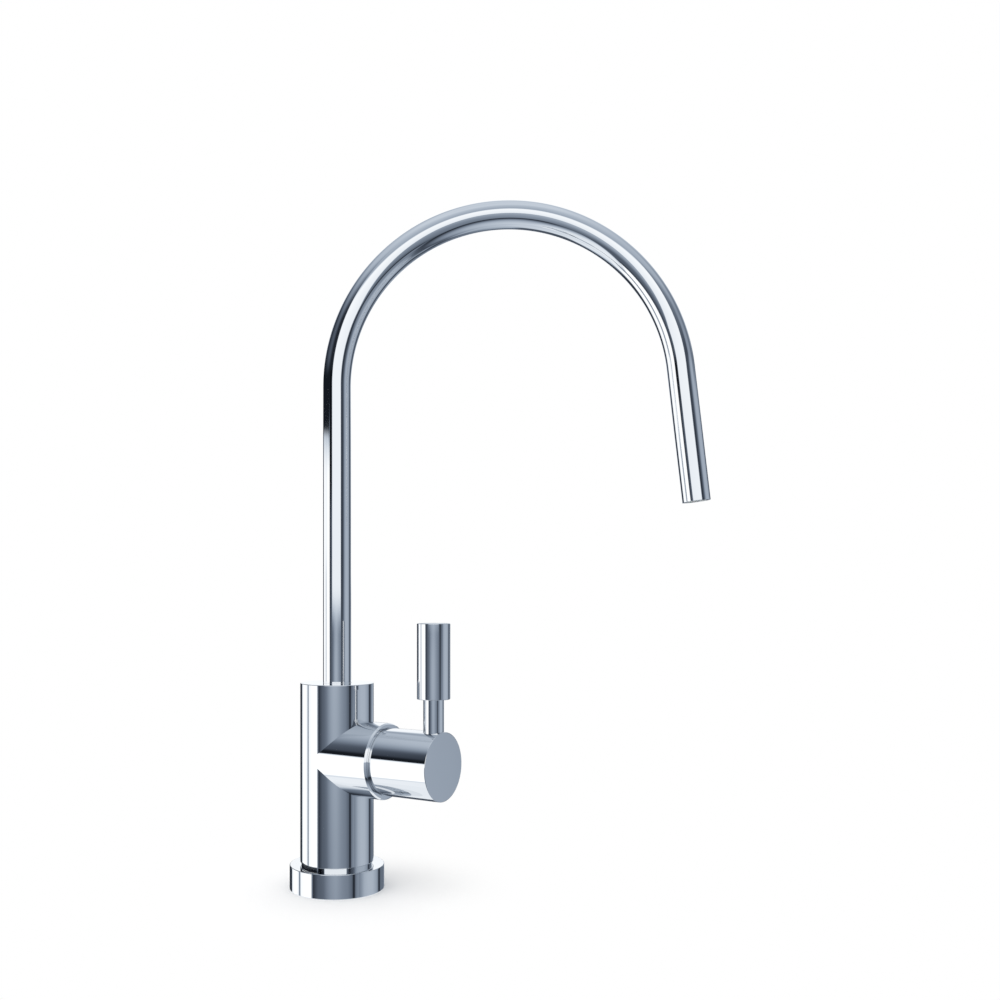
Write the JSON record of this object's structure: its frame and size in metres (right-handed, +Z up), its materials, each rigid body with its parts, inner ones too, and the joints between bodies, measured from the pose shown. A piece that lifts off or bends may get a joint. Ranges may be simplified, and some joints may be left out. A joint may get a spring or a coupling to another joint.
{
  "type": "drinking water faucet",
  "caption": "Deck-mounted drinking water faucet: swivelling swan-neck tube spout on a round body with a side quarter-turn lever valve, deck clamp and plug-in inlet.",
  "frame": {"origin": "on the deck plane, where the body's upright axis passes through the underside of the base flange", "axes": "+Z up along the body and riser; +X from the body towards the spout outlet at rest; the valve branch points 33 degrees from +X towards -Y; metres"},
  "size_m": [0.1804, 0.0612, 0.3674],
  "materials": {
    "polished_chrome": "bright mirror-polished chrome plating on brass",
    "spout_chrome": "bright polished tube",
    "brass": "plain machined brass",
    "zinc_steel": "bright zinc-plated steel",
    "dark_steel": "oiled spring and screw steel",
    "black_rubber": "black nitrile rubber, matt",
    "ceramic_white": "lapped alumina ceramic, off-white",
    "white_plastic": "natural white acetal",
    "connector_plastic": "moulded off-white acetal",
    "grey_plastic": "dark grey acetal"
  },
  "bodies": {
    "faucet_body": {"valve_body": "polished_chrome", "base_flange": "polished_chrome", "base_gasket": "black_rubber", "threaded_shank": "brass", "shank_o_ring": "black_rubber", "inlet_connector": "connector_plastic", "inlet_face_seal": "black_rubber", "inlet_o_ring": "black_rubber", "valve_cartridge": "brass", "cartridge_o_ring": "black_rubber", "seat_seal": "black_rubber", "ceramic_disc_fixed": "ceramic_white", "spout_slide_ring": "white_plastic", "spout_lock_screw": "dark_steel"},
    "spout": {"spout_tube": "spout_chrome", "spout_sleeve": "brass", "spout_o_rings": "black_rubber", "flow_straightener": "white_plastic"},
    "handle": {"handle_hub": "polished_chrome", "handle_spline_bush": "white_plastic", "lever_rod": "polished_chrome", "lever_grip": "polished_chrome", "valve_spindle": "brass", "spindle_o_rings": "black_rubber", "spindle_slip_ring": "white_plastic", "spindle_circlip": "dark_steel", "ceramic_disc_turning": "ceramic_white"},
    "deck_clamp": {"clamp_rubber_washer": "black_rubber", "clamp_steel_washer": "zinc_steel", "mounting_nut": "brass"},
    "collet": {"inlet_collet": "grey_plastic"}
  },
  "joints": [
    {"name": "spout_swivel", "type": "hinge", "parent": "faucet_body", "child": "spout", "pos_m": [0, 0, 0.08], "axis": [0, 0, 1], "continuous": true},
    {"name": "handle_turn", "type": "hinge", "parent": "faucet_body", "child": "handle", "pos_m": [0, 0, 0.056], "axis": [0.8387, -0.5446, 0], "range_deg": [0, 90]},
    {"name": "clamp_travel", "type": "slide", "parent": "faucet_body", "child": "deck_clamp", "axis": [0, 0, 1], "range_m": [-0.012, 0.011]},
    {"name": "collet_press", "type": "slide", "parent": "faucet_body", "child": "collet", "axis": [0, 0, 1], "range_m": [0, 0.0012]}
  ]
}
